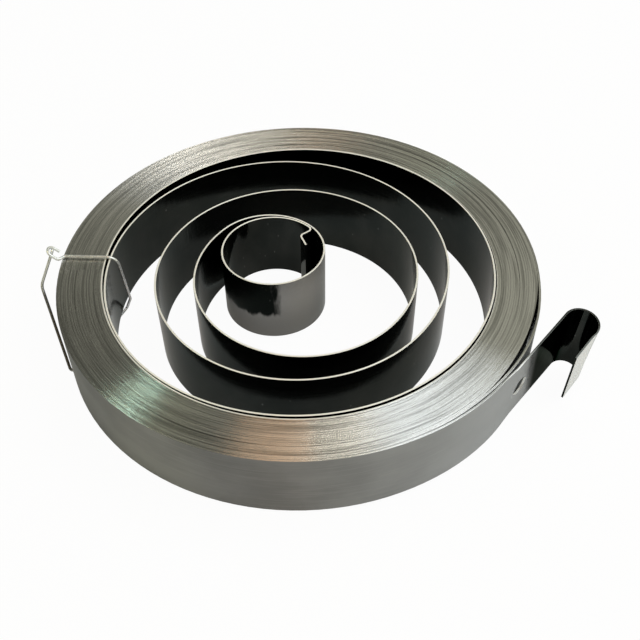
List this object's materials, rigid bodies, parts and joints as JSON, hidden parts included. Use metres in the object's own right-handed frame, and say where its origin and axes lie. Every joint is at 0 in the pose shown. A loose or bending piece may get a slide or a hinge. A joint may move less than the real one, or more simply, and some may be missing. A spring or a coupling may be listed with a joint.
{
  "type": "power spring",
  "caption": "Flat spiral power spring of coiled steel strip with an arbor eye, open inner turns, a tight outer pack, a holed tail with an end hook and a wire clip.",
  "frame": {"origin": "on the axis of the arbor eye, at the lower edge of the strip", "axes": "+Z along the eye's axis across the strip's width, +X towards the side where the hooked tail stands out"},
  "size_m": [0.1822, 0.1618, 0.0301],
  "materials": {
    "spring_steel": "dark polished spring steel with bright cut edges",
    "wire_steel": "bright drawn wire"
  },
  "bodies": {
    "root": {"spring_eye": "spring_steel", "open_turns": "spring_steel", "spring_pack": "spring_steel", "spring_tail": "spring_steel", "retaining_wire": "wire_steel"}
  },
  "joints": []
}
